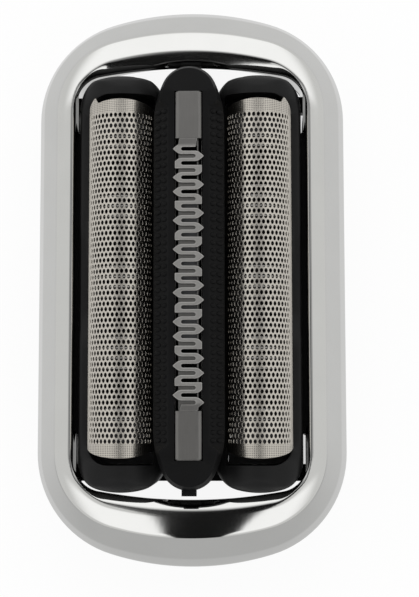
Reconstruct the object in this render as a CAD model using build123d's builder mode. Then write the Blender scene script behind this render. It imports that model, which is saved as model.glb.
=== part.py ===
"""Three-element shaver foil head: a plated ring, two floating foil units and a middle trimmer.

Millimetres, +Z towards the skin, +Y along the foils, origin at the middle of the seating edge.
"""
import math
import os

from build123d import *

# Clearances and travels
fit_clearance = 0.02
running_clearance = 0.05
slide_clearance = 0.1
foil_travel = 1.2
trimmer_travel = 1.2
travel_reserve = 0.2
cutter_stroke = 1.0
trimmer_stroke = 0.7

# Foils
foil_width = 6.9
foil_length = 36.8
foil_thickness = 0.15
foil_crown = 17.5
foil_flank = 3.0
plain_band = 1.5
hole_rows = 9
hole_columns = 5
hole_spread = 112.0
hole_flat = 17.0
hole_size = 0.9

# Foil holders
holder_rim = 1.1
holder_corner = 4.6
holder_low_corner = 5.4
holder_inner_corner = 3.4
holder_end_wall = 2.55
foil_end_gap = 0.75
foil_seat = 0.25
rim_drop = 0.1
hood_drop = 0.9
hood_radius = 4.85
hood_shoulder = 2.2
hood_flare = 0.1
hood_offset = 0.25
lug_length = 2.0
lug_height = 0.8
lug_reach = 0.5
lug_spacing = 19.0

# Cutters
blade_count = 7
blade_pitch = 4.8
blade_thickness = 0.25
blade_root = 0.4
blade_span = 112.0
blade_root_width = 3.6
bar_width = 5.8
bar_height = 3.25
bar_end_gap = 0.25
socket_bore = 2.6
socket_depth = 3.2
socket_wall = 0.9
socket_length = 6.8
socket_drop = 3.5
retainer_length = 2.8
retainer_height = 0.9
ear_length = 1.0
ear_height = 0.4
ear_reach = 0.5

# Middle trimmer
stem_width = 4.6
stem_clearance = 0.25
carrier_setback = 0.1
carrier_nose = 6.0
nose_radius = 10.1
carrier_rise = 1.2
carrier_edge = 1.2
carrier_slope = 1.8
crown_inset = 0.8
channel_depth = 2.3
rim_width = 0.6
rib_count = 14
rib_pitch = 2.4
rib_width = 1.2
rib_height = 0.18
rib_margin = 0.12
tab_width = 1.5
tab_reach = 0.55
comb_length = 37.1
comb_width = 2.74
sheet_thickness = 0.25
comb_proud = 0.3
tooth_pitch = 1.485
tooth_slot = 0.3
tooth_web = 0.32
tooth_reach = 0.2
slot_count = 37
turn_cycle = 5
blunt_turns = (2, 3)
blade_side_gap = 0.12
ladder_slot = 0.6
slider_length = 15.0
slider_width = 1.8
slider_rise = 0.65
neck_length = 7.0
neck_width = 2.2
neck_foot = 5.0
drive_slot_length = 2.4
drive_slot_width = 1.2
drive_slot_depth = 3.0
post_length = 1.3
post_width = 2.0
post_barb = 0.25
barb_height = 0.7

# Leaf springs
leaf_thickness = 0.2
leaf_side_gap = 0.1
leaf_back = 0.25
foil_leaf_length = 14.0
float_leaf_length = 4.0
float_leaf_width = 2.4
float_leaf_rest = 0.6
pressure_leaf_length = 3.0
pressure_leaf_width = 1.6

# Chassis
shelf_level = 4.8
shelf_thickness = 0.8
crossbar_height = 1.4
crossbar_width = 1.8
crossbar_inset = 0.7
seat_length = 6.2
rail_reveal = 0.35
rail_thickness = 1.2
rail_bridge = 0.7
rail_end_gap = 2.0
rim_wall = 1.1
rim_foot = 1.0
snap_length = 5.0
snap_reach = 0.7
snap_height = 1.0

# Plated ring
frame_height = 14.0
widest_level = 6.5
base_inset = 0.6
frame_wall = 1.4
side_slope = 3.8
end_slope = 5.4
crest_land = 0.3
side_lip = 0.3
end_lip = 1.55
lip_depth = 1.6
deck_thickness = 2.6
end_gap = 1.0
end_rise = 12.0
end_crown = 0.8
opening_rise = 5.6
slope_angles = (0, 30, 60, 90)
lip_angles = (0, 45, 90)

# Levels, from the chassis shelves up to the trimmer
shelf_top = shelf_level + shelf_thickness
crossbar_top = shelf_level + crossbar_height
holder_foot = crossbar_top + foil_travel + travel_reserve
bar_foot = holder_foot + retainer_height + running_clearance
bar_top = bar_foot + bar_height
socket_foot = bar_foot - socket_drop
foil_radius = foil_width / 2
arch_centre = foil_crown - foil_radius
foil_foot = arch_centre - foil_flank
rim_top = arch_centre - rim_drop
hood_crown = foil_crown - hood_drop
hood_centre = hood_crown - hood_radius
stem_foot = crossbar_top + trimmer_travel + float_leaf_rest
barb_top = shelf_level - slide_clearance
deck_level = frame_height - deck_thickness
rail_top = deck_level - slide_clearance
lug_top = rail_top - rail_bridge - running_clearance

# Widths, from the middle out to the ring
stem_half = stem_width / 2
holder_half_width = foil_radius + holder_rim
cavity_half = foil_radius - foil_seat
foil_axis = stem_half + stem_clearance + holder_half_width
cap_half_width = foil_axis - foil_radius - running_clearance
comb_half = comb_width / 2
channel_half = comb_half + running_clearance
crown_half_width = channel_half + rim_width
holder_outer = foil_axis + holder_half_width
rail_inner = holder_outer + slide_clearance
rail_outer = rail_inner + rail_thickness
opening_half_width = rail_inner + rail_reveal
frame_half_width = opening_half_width + side_lip + crest_land + side_slope
hollow_half_width = frame_half_width - base_inset - frame_wall
leaf_width = holder_half_width - cavity_half - 2 * leaf_side_gap
leaf_offset = (holder_half_width + cavity_half) / 2
flat_radius = (foil_radius - foil_thickness) * math.cos(math.radians(hole_flat / 2))
blade_radius = flat_radius - running_clearance

# Lengths, from the middle out to the ring
window_half = foil_length / 2 + foil_end_gap
bar_half_length = window_half - cutter_stroke - bar_end_gap
holder_half_length = window_half + holder_end_wall
retainer_middle = window_half - retainer_length / 2
crossbar_outer = holder_half_length - crossbar_inset
crossbar_middle = crossbar_outer - crossbar_width / 2
carrier_half_length = holder_half_length - carrier_setback
post_middle = crossbar_middle
stem_half_length = post_middle
seat_middle = crossbar_outer - seat_length / 2
float_leaf_middle = crossbar_outer - crossbar_width - float_leaf_length / 2
neck_travel = neck_length / 2 + trimmer_stroke + slide_clearance
pressure_leaf_middle = neck_travel + slide_clearance + pressure_leaf_length / 2
serpentine_half = slot_count * tooth_pitch / 4
comb_flange = comb_length / 2 - serpentine_half - tooth_slot
opening_half_length = holder_half_length + end_gap
frame_half_length = opening_half_length + end_lip + crest_land + end_slope
hollow_half_length = frame_half_length - base_inset - frame_wall
hollow_rise = end_rise - base_inset - frame_wall
rail_half_length = frame_half_length - end_rise - rail_end_gap

# The trimmer cap stays clear of the hoods beside its noses when it is pressed down
nose_run = window_half - carrier_half_length + carrier_nose
cap_at_hood = cap_half_width - nose_radius + math.sqrt(nose_radius**2 - nose_run**2)
hood_at_cap = hood_centre + math.sqrt(hood_radius**2 - (foil_axis - cap_at_hood) ** 2)
cap_foot = hood_at_cap + trimmer_travel + slide_clearance + carrier_rise
cap_shoulder = cap_foot + carrier_edge
cap_top = cap_shoulder + carrier_slope
channel_floor = cap_top - channel_depth
comb_top = cap_top + comb_proud
blade_top = comb_top - sheet_thickness - running_clearance
slider_top = blade_top - sheet_thickness
slider_foot = channel_floor + slider_rise

# Angles of the hole columns from the crown of a foil
column_angles = [hole_spread * (column / (hole_columns - 1) - 0.5) for column in range(hole_columns)]

os.makedirs("parts", exist_ok=True)


def oval_outline(half_width, half_length, rise, corner, mode=Mode.ADD):
    """Face with straight sides and ends of three tangent arcs: a corner, the end and a corner."""
    straight = half_length - rise
    run = half_width - corner
    crown = (run**2 + rise**2 - corner**2) / (2 * (rise - corner))
    reach = crown / (crown - corner)
    meet_x = run * reach
    meet_y = half_length - crown + (crown - rise) * reach
    with BuildLine() as outline:
        right = Line((half_width, -straight), (half_width, straight))
        bend = TangentArc(right @ 1, (meet_x, meet_y), tangent=right % 1)
        top = TangentArc(bend @ 1, (0, half_length), tangent=bend % 1)
        top = TangentArc(top @ 1, (-meet_x, meet_y), tangent=top % 1)
        bend = TangentArc(top @ 1, (-half_width, straight), tangent=top % 1)
        left = Line(bend @ 1, (-half_width, -straight))
        bend = TangentArc(left @ 1, (-meet_x, -meet_y), tangent=left % 1)
        bottom = TangentArc(bend @ 1, (0, -half_length), tangent=bend % 1)
        bottom = TangentArc(bottom @ 1, (meet_x, -meet_y), tangent=bottom % 1)
        TangentArc(bottom @ 1, right @ 0, tangent=bottom % 1)
    make_face(outline.edges(), mode=mode)


def ring_outline(half_width, half_length, rise, mode=Mode.ADD):
    """Face of the plated ring at one level, with gently crowned ends."""
    oval_outline(half_width, half_length, rise, rise - end_crown, mode)


def arch_outline(axis, radius, mode=Mode.ADD):
    """Face under the foil's arch, which is round between the narrow flats of the hole columns."""

    def place(angle):
        """Point on the arch at an angle from the crown, towards +X."""
        turn = math.radians(angle)
        return (axis + radius * math.sin(turn), arch_centre + radius * math.cos(turn))

    with BuildLine() as outline:
        foot = Line((axis - radius, foil_foot), (axis + radius, foil_foot))
        flat = Line(foot @ 1, place(90))
        start = 90
        for angle in reversed(column_angles):
            end = angle + hole_flat / 2
            bend = ThreePointArc(flat @ 1, place((start + end) / 2), place(end))
            start = end - hole_flat
            flat = Line(bend @ 1, place(start))
        bend = ThreePointArc(flat @ 1, place((start - 90) / 2), place(-90))
        Line(bend @ 1, foot @ 0)
    make_face(outline.edges(), mode=mode)


def leaf_outline(middle, length, foot, top):
    """Bent leaf spring seen from the side: two sloping legs and a flat back."""
    back_half = length * leaf_back / 2
    lower = [
        (middle - length / 2, foot),
        (middle - back_half, top - leaf_thickness),
        (middle + back_half, top - leaf_thickness),
        (middle + length / 2, foot),
    ]
    upper = [(place, level + leaf_thickness) for place, level in reversed(lower)]
    with BuildLine() as outline:
        Polyline(*lower, *upper, close=True)
    make_face(outline.edges())


# Plated ring: lofted outer slope, rolled lip at the opening and a hollow underside
with BuildPart() as chrome_frame:
    with BuildSketch(Plane.XY):
        ring_outline(frame_half_width - base_inset, frame_half_length - base_inset, end_rise - base_inset)
    with BuildSketch(Plane.XY.offset(widest_level)):
        ring_outline(frame_half_width, frame_half_length, end_rise)
    loft(ruled=True)
    for angle in slope_angles:
        level = widest_level + (frame_height - widest_level) * math.sin(math.radians(angle))
        share = 1 - math.cos(math.radians(angle))
        with BuildSketch(Plane.XY.offset(level)):
            half_width = frame_half_width - side_slope * share
            end_inset = end_slope * share
            ring_outline(half_width, frame_half_length - end_inset, end_rise - end_inset)
    loft(ruled=True)
    for angle in lip_angles:
        level = frame_height - lip_depth + lip_depth * math.sin(math.radians(angle))
        share = 1 - math.cos(math.radians(angle))
        with BuildSketch(Plane.XY.offset(level)):
            half_width = opening_half_width + side_lip * share
            end_roll = end_lip * share
            ring_outline(half_width, opening_half_length + end_roll, opening_rise + end_roll)
    loft(ruled=True, mode=Mode.SUBTRACT)
    with BuildSketch(Plane.XY):
        ring_outline(opening_half_width, opening_half_length, opening_rise)
    extrude(amount=frame_height - lip_depth, mode=Mode.SUBTRACT)
    with BuildSketch(Plane.XY):
        ring_outline(hollow_half_width, hollow_half_length, hollow_rise)
    extrude(amount=widest_level, mode=Mode.SUBTRACT)
    with BuildSketch(Plane.XY.offset(widest_level)):
        ring_outline(rail_outer + slide_clearance, opening_half_length + end_lip, opening_rise + end_lip)
    extrude(amount=deck_level - widest_level, mode=Mode.SUBTRACT)
chrome_frame.part.label = "chrome_frame"
export_step(chrome_frame.part, "parts/chrome_frame.step")

# Chassis: rim pressed into the ring, side rails with lug windows, crossbars and spring shelves
rim_mid_width = hollow_half_width - rim_wall / 2
rim_mid_length = hollow_half_length - rim_wall / 2
with BuildPart() as chassis:
    with BuildSketch(Plane.XY.offset(rim_foot)):
        ring_outline(hollow_half_width - fit_clearance, hollow_half_length - fit_clearance, hollow_rise)
        offset(amount=-rim_wall, mode=Mode.SUBTRACT)
    extrude(amount=widest_level - rim_foot)
    with BuildSketch(Plane.XY.offset(shelf_level)):
        with Locations((0, -crossbar_middle), (0, crossbar_middle)):
            Rectangle(2 * frame_half_width, crossbar_width)
        with Locations((0, -seat_middle), (0, seat_middle)):
            Rectangle(2 * (foil_axis - cavity_half), seat_length)
        ring_outline(rim_mid_width, rim_mid_length, hollow_rise, Mode.INTERSECT)
    extrude(amount=crossbar_height)
    with BuildSketch(Plane.XY.offset(shelf_level)):
        for side in (-1, 1):
            with Locations((side * (foil_axis - leaf_offset), 0)):
                Rectangle(holder_half_width - cavity_half, 2 * crossbar_middle)
            shelf_inner = foil_axis + cavity_half
            with Locations((side * (shelf_inner + rim_mid_width) / 2, 0)):
                Rectangle(rim_mid_width - shelf_inner, 2 * rail_half_length)
    extrude(amount=shelf_thickness)
    with BuildSketch(Plane.XY.offset(shelf_level)):
        for side in (-1, 1):
            with Locations((side * (rail_inner + rail_thickness / 2), 0)):
                Rectangle(rail_thickness, 2 * rail_half_length)
    extrude(amount=rail_top - shelf_level)
    window_height = lug_height + foil_travel + travel_reserve + running_clearance
    with BuildSketch(Plane.XY.offset(lug_top + running_clearance)):
        with GridLocations(2 * rail_inner + rail_thickness, lug_spacing, 2, 2):
            Rectangle(2 * rail_thickness, lug_length + 2 * slide_clearance)
    extrude(amount=-window_height, mode=Mode.SUBTRACT)
    with BuildSketch(Plane.XY.offset(shelf_level)):
        with Locations((0, -post_middle), (0, post_middle)):
            Rectangle(post_width + 2 * slide_clearance, post_length + 2 * slide_clearance)
    extrude(amount=crossbar_height, mode=Mode.SUBTRACT)
    with BuildSketch(Plane.XZ):
        for side in (-1, 1):
            snap_tip = hollow_half_width - rim_wall - snap_reach
            with BuildLine():
                Polyline(
                    (side * rim_mid_width, rim_foot),
                    (side * snap_tip, rim_foot + snap_height),
                    (side * rim_mid_width, rim_foot + 2 * snap_height),
                    close=True,
                )
            make_face()
    extrude(amount=snap_length / 2, both=True)
chassis.part.label = "chassis"
export_step(chassis.part, "parts/chassis.step")

# The two foil units are mirror images on either side of the trimmer
for name, side in (("left", -1), ("right", 1)):
    axis = side * foil_axis

    # Holder: arched bar with rounded corners, low rims beside the foil and a longer hood at the -Y end
    with BuildPart() as foil_holder:
        with BuildSketch(Plane.XY.offset(holder_foot)) as plan:
            with Locations((axis, -hood_offset)):
                Rectangle(2 * holder_half_width, 2 * holder_half_length)
            fillet(plan.vertices().group_by(lambda vertex: side * vertex.X)[0], holder_inner_corner)
            outer = plan.vertices().group_by(lambda vertex: side * vertex.X)[-1]
            fillet(outer.sort_by(Axis.Y)[-1], holder_corner)
            outer = plan.vertices().group_by(lambda vertex: side * vertex.X)[-1]
            fillet(outer.sort_by(Axis.Y)[0], holder_low_corner)
        extrude(amount=hood_crown)
        with BuildSketch(Plane.XZ):
            with Locations((axis, hood_centre)):
                Circle(hood_radius)
            with Locations((axis, hood_centre / 2)):
                Rectangle(2 * hood_radius, hood_centre)
        extrude(amount=frame_half_length, both=True, mode=Mode.INTERSECT)
        with BuildSketch(Plane.YZ) as profile:
            with Locations((-hood_offset, (hood_crown + hood_flare) / 2)):
                Rectangle(2 * (holder_half_length + hood_flare), hood_crown + hood_flare)
            fillet(profile.vertices().group_by(Axis.Y)[-1], hood_shoulder)
        extrude(amount=frame_half_width, both=True, mode=Mode.INTERSECT)
        with BuildSketch(Plane.XY.offset(rim_top)):
            with Locations((axis, 0)):
                Rectangle(2 * holder_half_width, 2 * window_half)
        extrude(amount=hood_crown - rim_top, mode=Mode.SUBTRACT)
        with BuildSketch(Plane.XY.offset(foil_foot)):
            with Locations((axis, 0)):
                Rectangle(foil_width + 2 * fit_clearance, 2 * window_half)
        extrude(amount=hood_crown - foil_foot, mode=Mode.SUBTRACT)
        with BuildSketch(Plane.XY.offset(holder_foot)):
            with Locations((axis, 0)):
                Rectangle(2 * cavity_half, 2 * window_half)
        extrude(amount=foil_foot - holder_foot, mode=Mode.SUBTRACT)
        with BuildSketch(Plane.XY.offset(holder_foot + retainer_height)):
            with Locations((axis, -retainer_middle), (axis, retainer_middle)):
                Rectangle(2 * (cavity_half + ear_reach), ear_length)
        extrude(amount=-ear_height, mode=Mode.SUBTRACT)
        with BuildSketch(Plane.XY.offset(lug_top)):
            lug_middle = side * (holder_outer + (lug_reach - holder_rim / 2) / 2)
            with Locations((lug_middle, -lug_spacing / 2), (lug_middle, lug_spacing / 2)):
                Rectangle(lug_reach + holder_rim / 2, lug_length)
        extrude(amount=-lug_height)
    foil_holder.part.label = f"{name}_foil_holder"
    export_step(foil_holder.part, f"parts/{name}_foil_holder.step")

    # Foil: thin arched sheet with staggered columns of six-sided holes
    row_pitch = (foil_length - 2 * plain_band) / (hole_rows + 0.5)
    with BuildPart() as foil:
        with BuildSketch(Plane.XZ):
            arch_outline(axis, foil_radius)
            arch_outline(axis, foil_radius - foil_thickness, Mode.SUBTRACT)
        extrude(amount=foil_length / 2, both=True)
        for column, angle in enumerate(column_angles):
            turn = math.radians(angle)
            outward = Vector(math.sin(turn), 0, math.cos(turn))
            stagger = row_pitch * (column % 2 - 0.5) / 2
            centre = Vector(axis, stagger, arch_centre) + outward * foil_radius
            with BuildSketch(Plane(centre, x_dir=(0, 1, 0), z_dir=outward)):
                with GridLocations(row_pitch, row_pitch, hole_rows, 1):
                    RegularPolygon(hole_size / 2, 6)
            extrude(amount=hole_size / 2, both=True, mode=Mode.SUBTRACT)
    foil.part.label = f"{name}_foil"
    export_step(foil.part, f"parts/{name}_foil.step")

    # Cutter carrier: slotted bar with a drive socket below
    with BuildPart() as cutter_carrier:
        with BuildSketch(Plane.XY.offset(bar_foot)):
            with Locations((axis, 0)):
                Rectangle(bar_width, 2 * bar_half_length)
        extrude(amount=bar_height)
        with BuildSketch(Plane.XY.offset(bar_top)):
            with Locations((axis, 0)):
                with GridLocations(bar_width, blade_pitch, 1, blade_count):
                    Rectangle(2 * bar_width, blade_thickness + 2 * fit_clearance)
        extrude(amount=-blade_root, mode=Mode.SUBTRACT)
        with BuildSketch(Plane.XY.offset(socket_foot)):
            with Locations((axis, 0)):
                Rectangle(socket_bore + 2 * socket_wall, socket_length)
        extrude(amount=socket_drop)
        with Locations(cutter_carrier.faces().sort_by(Axis.Z)[0]):
            Hole(socket_bore / 2, socket_depth)
    cutter_carrier.part.label = f"{name}_cutter_carrier"
    export_step(cutter_carrier.part, f"parts/{name}_cutter_carrier.step")

    # Blades: round-backed plates standing in the bar's slots
    blade_places = [(index - (blade_count - 1) / 2) * blade_pitch for index in range(blade_count)]
    blade_foot = bar_top - blade_root
    with BuildPart() as blades:
        with BuildSketch(*[Plane.XZ.offset(place) for place in blade_places]):
            with BuildLine():
                edge = CenterArc((axis, arch_centre), blade_radius, 90 - blade_span / 2, blade_span)
                Polyline(
                    edge @ 1,
                    (axis - blade_root_width / 2, blade_foot),
                    (axis + blade_root_width / 2, blade_foot),
                    edge @ 0,
                )
            make_face()
        extrude(amount=blade_thickness / 2, both=True)
    blades.part.label = f"{name}_blades"
    export_step(blades.part, f"parts/{name}_blades.step")

    # Retainers: clips at both ends of the holder that the cutter runs on
    with BuildPart() as cutter_retainers:
        with BuildSketch(Plane.XY.offset(holder_foot)):
            with Locations((axis, -retainer_middle), (axis, retainer_middle)):
                Rectangle(2 * (cavity_half - fit_clearance), retainer_length - 2 * fit_clearance)
        extrude(amount=retainer_height)
        with BuildSketch(Plane.XY.offset(holder_foot + retainer_height - fit_clearance)):
            with Locations((axis, -retainer_middle), (axis, retainer_middle)):
                Rectangle(2 * (cavity_half + ear_reach - fit_clearance), ear_length - 2 * fit_clearance)
        extrude(amount=2 * fit_clearance - ear_height)
    cutter_retainers.part.label = f"{name}_cutter_retainers"
    export_step(cutter_retainers.part, f"parts/{name}_cutter_retainers.step")

    # Leaf springs under both side walls of the holder
    with BuildPart() as foil_springs:
        with BuildSketch(Plane.YZ.offset(axis - leaf_offset), Plane.YZ.offset(axis + leaf_offset)):
            leaf_outline(0, foil_leaf_length, shelf_top, holder_foot - running_clearance)
        extrude(amount=leaf_width / 2, both=True)
    foil_springs.part.label = f"{name}_foil_springs"
    export_step(foil_springs.part, f"parts/{name}_foil_springs.step")

# Trimmer carrier: boat-shaped cap with ribbed flanks, channel, hollow stem and guide posts
slope_run = cap_half_width - crown_half_width
slope_length = math.hypot(slope_run, carrier_slope)
slope_out = Vector(carrier_slope, slope_run) / slope_length
slope_down = Vector(slope_run, -carrier_slope) / slope_length
slope_start = Vector(crown_half_width, cap_top)
rib_places = [(index - (rib_count - 1) / 2) * rib_pitch for index in range(rib_count)]
with BuildPart() as trimmer_carrier:
    with BuildSketch(Plane.XY.offset(cap_foot)):
        oval_outline(cap_half_width, carrier_half_length, carrier_nose, nose_radius)
    extrude(amount=cap_top - cap_foot)
    with BuildSketch(Plane.XZ):
        with BuildLine():
            slope_high = slope_start - slope_down * slope_length
            slope_low = slope_start + slope_down * slope_length * 2
            Polyline(slope_high, slope_low, (slope_low.X, slope_high.Y), close=True)
        make_face()
        mirror(about=Plane.YZ)
    extrude(amount=carrier_half_length, both=True, mode=Mode.SUBTRACT)
    with BuildSketch(Plane.YZ):
        with BuildLine():
            crown_end = carrier_half_length - crown_inset
            nose_high = (crown_end - crown_inset, cap_top + carrier_slope)
            nose_low = (crown_end + 2 * crown_inset, cap_top - 2 * carrier_slope)
            Polyline(nose_high, nose_low, (nose_low[0], nose_high[1]), close=True)
        make_face()
        mirror(about=Plane.YZ)
    extrude(amount=cap_half_width, both=True, mode=Mode.SUBTRACT)
    with BuildSketch(*[Plane.XZ.offset(place) for place in rib_places]):
        with BuildLine():
            rib_start = slope_start + slope_down * slope_length * rib_margin
            rib_end = slope_start + slope_down * slope_length * (1 - rib_margin)
            Polyline(
                rib_start - slope_out * rib_height,
                rib_start + slope_out * rib_height,
                rib_end + slope_out * rib_height,
                rib_end - slope_out * rib_height,
                close=True,
            )
        make_face()
        mirror(about=Plane.YZ)
    extrude(amount=rib_width / 2, both=True)
    with BuildSketch(Plane.XY.offset(cap_foot)):
        with Locations((0, -carrier_half_length)):
            Rectangle(tab_width, 2 * tab_reach)
    extrude(amount=carrier_edge)
    with BuildSketch(Plane.XY.offset(stem_foot)):
        Rectangle(stem_width, 2 * stem_half_length)
    extrude(amount=cap_foot - stem_foot)
    with BuildSketch(Plane.XY.offset(barb_top)):
        with Locations((0, -post_middle), (0, post_middle)):
            Rectangle(post_width, post_length)
    extrude(amount=cap_foot - barb_top)
    with BuildSketch(Plane.XY.offset(barb_top)):
        with Locations((0, -post_middle), (0, post_middle)):
            Rectangle(post_width + 2 * post_barb, post_length)
    extrude(amount=-barb_height)
    with BuildSketch(Plane.XY.offset(cap_top)):
        Rectangle(2 * channel_half, comb_length + 2 * running_clearance)
    extrude(amount=-channel_depth, mode=Mode.SUBTRACT)
    with BuildSketch(Plane.XY.offset(stem_foot)):
        Rectangle(neck_width + 2 * slide_clearance, 2 * neck_travel)
    extrude(amount=channel_floor - stem_foot, mode=Mode.SUBTRACT)
trimmer_carrier.part.label = "trimmer_carrier"
export_step(trimmer_carrier.part, "parts/trimmer_carrier.step")

# Trimmer comb: steel strip cut to a serpentine, its plain ends folded down into the channel
with BuildPart() as trimmer_comb:
    with BuildSketch(Plane.XY.offset(comb_top - sheet_thickness)):
        Rectangle(comb_width, comb_length)
        for index in range(slot_count):
            place = ((slot_count - 1) / 2 - index) * tooth_pitch / 2
            open_side = -1 if index % 2 else 1
            slot_length = comb_width - tooth_web + tooth_reach
            with Locations((open_side * (comb_half + tooth_reach - slot_length / 2), place)):
                Rectangle(slot_length, tooth_slot, mode=Mode.SUBTRACT)
            if index % turn_cycle not in blunt_turns:
                tooth_half = (tooth_pitch - tooth_slot) / 2
                with BuildLine():
                    Polyline(
                        (-open_side * comb_half, place - tooth_half),
                        (-open_side * (comb_half + tooth_reach), place - tooth_slot / 2),
                        (-open_side * (comb_half + tooth_reach), place + tooth_slot / 2),
                        (-open_side * comb_half, place + tooth_half),
                        close=True,
                    )
                make_face()
    extrude(amount=sheet_thickness)
    with BuildSketch(Plane.XY.offset(channel_floor)):
        flange_middle = (comb_length - comb_flange) / 2
        with GridLocations(comb_width - sheet_thickness, 2 * flange_middle, 2, 2):
            Rectangle(sheet_thickness, comb_flange)
    extrude(amount=comb_top - channel_floor)
trimmer_comb.part.label = "trimmer_comb"
export_step(trimmer_comb.part, "parts/trimmer_comb.step")

# Trimmer blade: ladder of cutting edges that runs just under the comb
with BuildPart() as trimmer_blade:
    with BuildSketch(Plane.XY.offset(slider_top)):
        blade_width = 2 * (comb_half - sheet_thickness - blade_side_gap)
        Rectangle(blade_width, 2 * serpentine_half)
        with GridLocations(tooth_pitch, tooth_pitch, 1, slot_count // 2):
            Rectangle(blade_width - 2 * tooth_web, ladder_slot, mode=Mode.SUBTRACT)
    extrude(amount=sheet_thickness)
trimmer_blade.part.label = "trimmer_blade"
export_step(trimmer_blade.part, "parts/trimmer_blade.step")

# Trimmer slider: bar under the blade with a neck down to the drive slot
with BuildPart() as trimmer_slider:
    with BuildSketch(Plane.XY.offset(slider_foot)):
        Rectangle(slider_width, slider_length)
    extrude(amount=slider_top - slider_foot)
    with BuildSketch(Plane.XY.offset(neck_foot)):
        Rectangle(neck_width, neck_length)
    extrude(amount=slider_foot - neck_foot)
    with BuildSketch(Plane.XY.offset(neck_foot)):
        Rectangle(drive_slot_width, drive_slot_length)
    extrude(amount=drive_slot_depth, mode=Mode.SUBTRACT)
trimmer_slider.part.label = "trimmer_slider"
export_step(trimmer_slider.part, "parts/trimmer_slider.step")

# Leaf springs that press the slider up to the comb
with BuildPart() as trimmer_pressure_springs:
    for middle in (-pressure_leaf_middle, pressure_leaf_middle):
        with BuildSketch(Plane.YZ):
            leaf_outline(middle, pressure_leaf_length, channel_floor, slider_foot - running_clearance)
        extrude(amount=pressure_leaf_width / 2, both=True)
trimmer_pressure_springs.part.label = "trimmer_pressure_springs"
export_step(trimmer_pressure_springs.part, "parts/trimmer_pressure_springs.step")

# Leaf springs that carry the trimmer on the crossbar seats
with BuildPart() as trimmer_float_springs:
    for middle in (-float_leaf_middle, float_leaf_middle):
        with BuildSketch(Plane.YZ):
            leaf_outline(middle, float_leaf_length, crossbar_top, stem_foot - running_clearance)
        extrude(amount=float_leaf_width / 2, both=True)
trimmer_float_springs.part.label = "trimmer_float_springs"
export_step(trimmer_float_springs.part, "parts/trimmer_float_springs.step")
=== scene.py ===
"""Dresses the shaver foil head: plated ring, hooded holders, fine foils and the middle trimmer."""
import math

import bmesh
import bpy
from bpy.props import FloatProperty, FloatVectorProperty, IntProperty, PointerProperty
from mathutils import Matrix, Vector


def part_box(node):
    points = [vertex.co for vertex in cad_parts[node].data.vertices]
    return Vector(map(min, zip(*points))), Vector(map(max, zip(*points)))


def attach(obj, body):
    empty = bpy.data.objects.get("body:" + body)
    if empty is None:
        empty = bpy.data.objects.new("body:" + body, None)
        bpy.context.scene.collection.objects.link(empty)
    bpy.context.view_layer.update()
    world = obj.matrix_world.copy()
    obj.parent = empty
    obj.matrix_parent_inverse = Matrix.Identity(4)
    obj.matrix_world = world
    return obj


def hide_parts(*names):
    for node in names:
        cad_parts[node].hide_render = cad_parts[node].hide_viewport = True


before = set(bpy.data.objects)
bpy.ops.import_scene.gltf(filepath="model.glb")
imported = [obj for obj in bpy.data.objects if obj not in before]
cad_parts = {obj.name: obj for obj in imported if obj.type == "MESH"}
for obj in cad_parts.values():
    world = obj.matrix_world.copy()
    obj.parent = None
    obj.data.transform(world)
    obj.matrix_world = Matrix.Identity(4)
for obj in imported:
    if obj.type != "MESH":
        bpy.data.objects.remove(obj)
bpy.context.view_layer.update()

bl_info = {
    "name": "Shaver Foil Head",
    "version": (1, 0, 0),
    "blender": (4, 5, 0),
    "location": "View3D > Sidebar > Foil Head",
    "description": "Builds the plated ring, holders, foils, blades and middle trimmer of a shaver foil head",
    "category": "Object",
}

MM = 0.001
SIDES = (("left", -1), ("right", 1))

# Places that the pieces share, read from the solids of the right-hand foil unit and the trimmer
foil_low, foil_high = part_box("right_foil")
foil_axis = (foil_low.x + foil_high.x) / 2
foil_radius = (foil_high.x - foil_low.x) / 2
arch_level = foil_high.z - foil_radius
holder_low, holder_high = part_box("right_foil_holder")
carrier_low, carrier_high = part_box("trimmer_carrier")
comb_low, comb_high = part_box("trimmer_comb")
ring_low, ring_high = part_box("chrome_frame")


def length(label, words, millimetres):
    """Length property, with its default given in millimetres."""
    return FloatProperty(
        name=label, description=words, default=millimetres * MM, precision=6, unit="LENGTH"
    )


def colour(label, words, red, green, blue):
    """Colour property in linear values."""
    return FloatVectorProperty(
        name=label, description=words, default=(red, green, blue), size=3, min=0, max=1, subtype="COLOR"
    )


def angle(label, words, degrees):
    """Angle property, with its default given in degrees."""
    return FloatProperty(name=label, description=words, default=math.radians(degrees), subtype="ANGLE")


class RingSettings(bpy.types.PropertyGroup):
    """Section of the plated ring."""

    widest: length("Widest level", "Height at which the ring is widest", 6.5)
    base_inset: length("Base inset", "How far the seating edge stands inside the widest outline", 0.6)
    side_slope: length("Side slope", "Width of the outer slope along the sides", 3.8)
    end_slope: length("End slope", "Width of the outer slope at the ends", 5.4)
    end_rise: length("End rise", "Length of the rounded ends of the widest outline", 12.0)
    end_crown: length("End crown", "How far an end bows out between its corners", 0.8)
    crest: length("Crest", "Width of the flat crest", 0.3)
    side_lip: length("Side lip", "Width of the rolled lip along the sides", 0.3)
    end_lip: length("End lip", "Width of the rolled lip at the ends", 1.55)
    lip_depth: length("Lip depth", "Height of the rolled lip", 0.7)
    opening_rise: length("Opening rise", "Length of the rounded ends of the opening", 3.9)
    deck: length("Deck", "Thickness of the ring at the opening", 1.5)
    wall: length("Wall", "Thickness of the skirt", 1.4)
    rail_end: length("Rail end", "Distance from the middle past which the recess is narrow", 15.4)
    tint: colour("Plating", "Colour of the bright plating", 0.63, 0.63, 0.617)


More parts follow.
